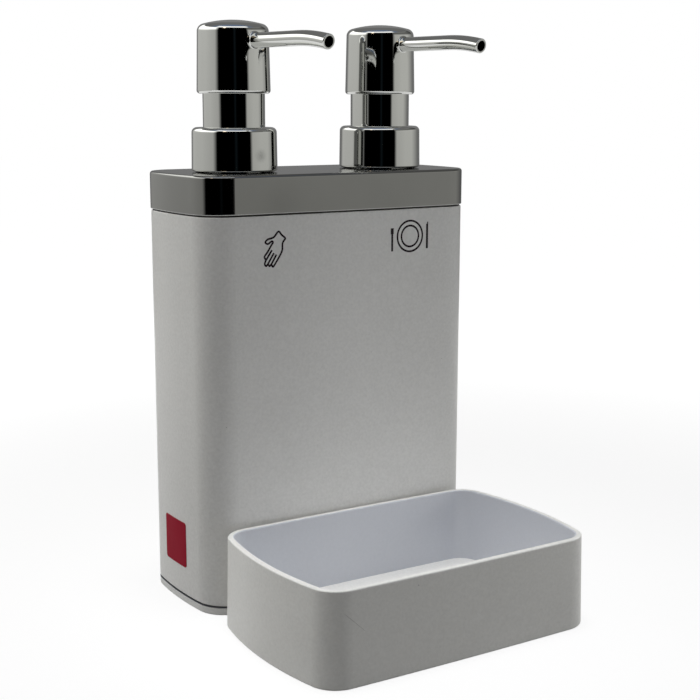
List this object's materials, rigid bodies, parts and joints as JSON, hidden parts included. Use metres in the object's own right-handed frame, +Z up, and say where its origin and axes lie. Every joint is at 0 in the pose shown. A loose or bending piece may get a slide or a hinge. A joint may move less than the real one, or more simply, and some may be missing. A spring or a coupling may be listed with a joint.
{
  "type": "twin soap dispenser with tray",
  "caption": "Free-standing soap dispenser with a pair of plated press pumps on a plated lid, and a loose open tray for a sponge in front of it.",
  "frame": {"origin": "on the counter, under the middle of the dispenser's base plate", "axes": "+Z up along the pumps, -Y to the front where the tray stands, +X to the right as seen from the front"},
  "size_m": [0.1286, 0.142, 0.231],
  "materials": {
    "white_plastic": "satin moulded",
    "chrome_plating": "bright chrome plating on a moulding",
    "dark_rubber": "matte",
    "red_label": "printed film",
    "natural_plastic": "natural moulded",
    "clear_tube": "translucent extruded",
    "bright_steel": "drawn wire, polished ball"
  },
  "bodies": {
    "root": {"body_shell": "white_plastic", "base_plate": "white_plastic", "lid": "chrome_plating", "lid_seal": "dark_rubber", "side_label": "red_label"},
    "tray": {"tray": "white_plastic"},
    "left_barrel": {"left_pump_barrel": "natural_plastic", "left_stem_retainer": "natural_plastic", "left_neck_gasket": "dark_rubber", "left_dip_tube": "clear_tube"},
    "left_collar": {"left_collar": "chrome_plating", "left_screw_cap": "natural_plastic"},
    "left_plunger": {"left_pump_piston": "natural_plastic", "left_return_spring": "bright_steel"},
    "left_head": {"left_head_shell": "chrome_plating", "left_head_core": "natural_plastic", "left_pump_stem": "natural_plastic"},
    "left_ball": {"left_inlet_ball": "bright_steel"},
    "right_barrel": {"right_pump_barrel": "natural_plastic", "right_stem_retainer": "natural_plastic", "right_neck_gasket": "dark_rubber", "right_dip_tube": "clear_tube"},
    "right_collar": {"right_collar": "chrome_plating", "right_screw_cap": "natural_plastic"},
    "right_plunger": {"right_pump_piston": "natural_plastic", "right_return_spring": "bright_steel"},
    "right_head": {"right_head_shell": "chrome_plating", "right_head_core": "natural_plastic", "right_pump_stem": "natural_plastic"},
    "right_ball": {"right_inlet_ball": "bright_steel"}
  },
  "joints": [
    {"name": "left_unscrew", "type": "hinge", "parent": "left_barrel", "child": "left_collar", "pos_m": [-0.0345, 0, 0.18], "axis": [0, 0, 1], "range_deg": [0, 450]},
    {"name": "left_lift", "type": "slide", "parent": "root", "child": "left_barrel", "axis": [0, 0, 1], "range_m": [0, 0.0053]},
    {"name": "left_press", "type": "slide", "parent": "left_barrel", "child": "left_plunger", "axis": [0, 0, -1], "range_m": [0, 0.0125], "stiffness_N_per_m": 300, "springref_m": -0.008, "deforming": ["left_return_spring"]},
    {"name": "left_swivel", "type": "hinge", "parent": "left_plunger", "child": "left_head", "pos_m": [-0.0345, 0, 0.2224], "axis": [0, 0, 1], "range_deg": [-214, 20]},
    {"name": "left_inlet_valve", "type": "slide", "parent": "left_barrel", "child": "left_ball", "axis": [0, 0, 1], "range_m": [0, 0.002]},
    {"name": "right_unscrew", "type": "hinge", "parent": "right_barrel", "child": "right_collar", "pos_m": [0.0345, 0, 0.18], "axis": [0, 0, 1], "range_deg": [0, 450]},
    {"name": "right_lift", "type": "slide", "parent": "root", "child": "right_barrel", "axis": [0, 0, 1], "range_m": [0, 0.0053]},
    {"name": "right_press", "type": "slide", "parent": "right_barrel", "child": "right_plunger", "axis": [0, 0, -1], "range_m": [0, 0.0125], "stiffness_N_per_m": 300, "springref_m": -0.008, "deforming": ["right_return_spring"]},
    {"name": "right_swivel", "type": "hinge", "parent": "right_plunger", "child": "right_head", "pos_m": [0.0345, 0, 0.2224], "axis": [0, 0, -1], "range_deg": [-196, 38]},
    {"name": "right_inlet_valve", "type": "slide", "parent": "right_barrel", "child": "right_ball", "axis": [0, 0, 1], "range_m": [0, 0.002]},
    {"name": "tray_pull", "type": "slide", "parent": "root", "child": "tray", "axis": [0, -1, 0], "range_m": [0, 0.1]}
  ],
  "couplings": [
    {"joint": "left_lift", "follows": "left_unscrew", "m_per_rad": 0.00067323},
    {"joint": "right_lift", "follows": "right_unscrew", "m_per_rad": 0.00067323}
  ]
}
